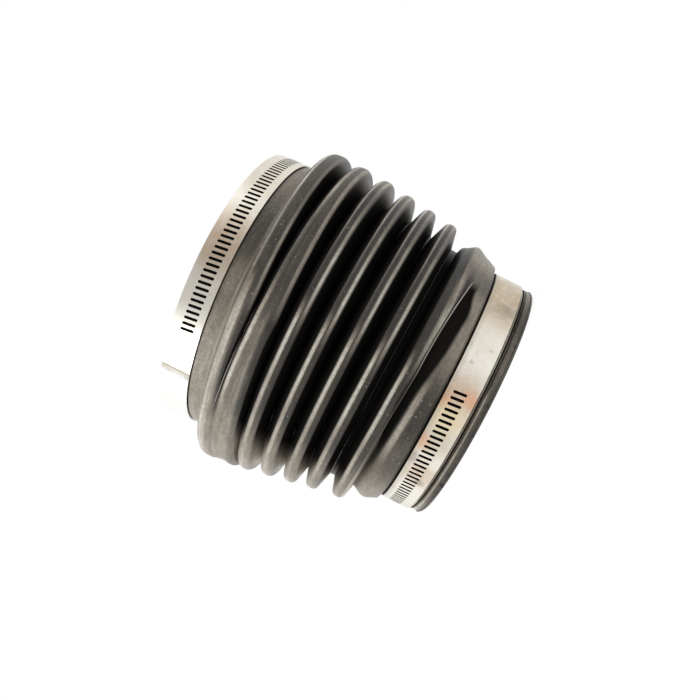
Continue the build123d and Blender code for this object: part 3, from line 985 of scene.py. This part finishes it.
class BOOT_OT_screws(bpy.types.Operator):
    """Model the worm screws with their thread and slotted hexagon heads"""

    bl_idname = "boot.screws"
    bl_label = "Worm screws"

    def execute(self, context):
        clamps = context.scene.boot_clamps
        material = pressed_finish("screw_steel", clamps)
        for joint in frame["record"]["behaviour"]["joints"]:
            size = joint["child"].split("_")[0]
            centre, axis = Vector(joint["pos_m"]), Vector(joint["axis"]).normalized()
            piece = worm_screw(size + "_worm_screw", clamps, centre, axis)
            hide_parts(size + "_clamp_screw")
            wear(piece, material, joint["child"])
        return {"FINISHED"}


# ---------------------------------------------------------------- studio
EYE = (-3.57, -327.74, 39.86)  # camera, in millimetres
AHEAD = (-0.003, 0.9976, 0.0697)
RIGHT = (0.4559, 0.0634, -0.8878)  # right of the picture: the boot stands turned on its side
FLOOR_SIZE = 24  # metres
DIM_SPAN = (-0.85, -0.15)  # Y of a direction, from the dim side in front of the boot to the white one
WHITE = (1.0, 1.0, 1.0, 1.0)


def camera(studio):
    """Camera in front of the boot, turned so that the boot lies on its side in the picture."""
    ahead = Vector(AHEAD).normalized()
    right = Vector(RIGHT)
    right = (right - right.dot(ahead) * ahead).normalized()
    turn = Matrix((right, right.cross(ahead), -ahead)).transposed().to_4x4()
    bpy.ops.object.camera_add()
    eye = bpy.context.object
    eye.name = "camera"
    eye.data.lens = studio.lens
    eye.data.sensor_width = 36.0
    eye.data.clip_start = 0.01
    eye.matrix_world = Matrix.Translation(Vector(EYE) * MM) @ turn
    bpy.context.scene.camera = eye


def rays(finish):
    """1 for rays from the eye, and 1 for those that gloss or glass sends on."""
    eye = finish.node("ShaderNodeLightPath", output="Is Camera Ray")
    gloss = finish.node("ShaderNodeLightPath", output="Is Glossy Ray")
    glass = finish.node("ShaderNodeLightPath", output="Is Transmission Ray")
    return eye, gloss.most(glass)


def floor(studio):
    """White paper that shines white to the eye and to gloss, and still takes a shadow."""
    clear_selection()
    bpy.ops.mesh.primitive_plane_add(size=FLOOR_SIZE, location=(0, 0, 0))
    paper = bpy.context.object
    paper.name = "floor"
    finish = Finish.named("floor_paper")
    finish.feed("Base Color", (studio.paper, studio.paper, studio.paper, 1.0))
    finish.feed("Roughness", 0.9)
    finish.feed("Specular IOR Level", 0.0)
    unlit = studio.shade * studio.paper * studio.fill
    light = {"Color": WHITE, "Strength": (1.0 - unlit) / (1.0 - studio.shade)}
    eye, sent_on = rays(finish)
    glow = finish.node("ShaderNodeEmission", None, light)
    finish.overlay(eye.most(sent_on) * (1.0 - studio.shade), glow)
    paper.data.materials.append(finish.material)


def room(studio):
    """White all round to the eye; gloss finds it dimmer in front of the boot."""
    world = bpy.data.worlds.new("room")
    bpy.context.scene.world = world
    world.use_nodes = True
    light = Finish(world.node_tree, world.node_tree.nodes["Background"])
    eye, sent_on = rays(light)
    way = light.node("ShaderNodeTexCoord", output="Generated")
    behind = light.along(way, (0.0, 1.0, 0.0)).rise(*DIM_SPAN)
    mirrored = sent_on * (behind * (1.0 - studio.dim) + studio.dim)
    light.feed("Color", WHITE)
    light.feed("Strength", eye.most(mirrored) + (1.0 - eye.most(sent_on)) * studio.fill)


# softboxes: place, width and height in metres, and watts
LAMPS = (
    ("window", (-0.55, -0.30, 0.42), 0.30, 0.50, 2.4),
    ("top", (0.30, -0.20, 0.45), 0.30, 0.30, 0.7),
)
LAMPS_AIM = (0, 0, 0.065)  # metres


def softboxes():
    """Rectangular lamps, aimed at the middle of the boot."""
    for name, place, width, height, power in LAMPS:
        aim = Vector(LAMPS_AIM) - Vector(place)
        turn = aim.to_track_quat("-Z", "Y").to_euler()
        bpy.ops.object.light_add(type="AREA", location=place, rotation=turn)
        lamp = bpy.context.object
        lamp.name = name
        lamp.data.shape = "RECTANGLE"
        lamp.data.size, lamp.data.size_y = width, height
        lamp.data.energy = power


class BOOT_OT_studio(bpy.types.Operator):
    """Set up the camera, the white floor and room, and the softboxes"""

    bl_idname = "boot.studio"
    bl_label = "Studio"

    def execute(self, context):
        studio = context.scene.boot_studio
        camera(studio)
        floor(studio)
        room(studio)
        softboxes()
        context.scene.view_settings.view_transform = "Standard"
        return {"FINISHED"}


# ---------------------------------------------------------------- add-on
GROUPS = {
    "boot_rubber": BootRubber,
    "boot_flash": BootFlash,
    "boot_clamps": BootClamps,
    "boot_studio": BootStudio,
}
OPERATORS = (
    BOOT_OT_studio,
    BOOT_OT_rubber,
    BOOT_OT_flash,
    BOOT_OT_bands,
    BOOT_OT_housings,
    BOOT_OT_screws,
)


class BOOT_PT_panel(bpy.types.Panel):
    """Lists the boot's pieces and their sizes and colours"""

    bl_label = "Bellows Boot"
    bl_space_type = "VIEW_3D"
    bl_region_type = "UI"
    bl_category = "Boot"

    def draw(self, context):
        for operator in OPERATORS:
            self.layout.operator(operator.bl_idname)
        for name, group in GROUPS.items():
            box = self.layout.box()
            for field in group.__annotations__:
                box.prop(getattr(context.scene, name), field)


def register():
    for kind in (*GROUPS.values(), *OPERATORS, BOOT_PT_panel):
        bpy.utils.register_class(kind)
    for name, group in GROUPS.items():
        setattr(bpy.types.Scene, name, PointerProperty(type=group))


def unregister():
    for name in GROUPS:
        delattr(bpy.types.Scene, name)
    for kind in (BOOT_PT_panel, *reversed(OPERATORS), *GROUPS.values()):
        bpy.utils.unregister_class(kind)


def main():
    register()
    bpy.ops.boot.studio()
    bpy.ops.boot.rubber()
    bpy.ops.boot.flash()
    bpy.ops.boot.bands()
    bpy.ops.boot.housings()
    bpy.ops.boot.screws()


if __name__ == "__main__":
    main()
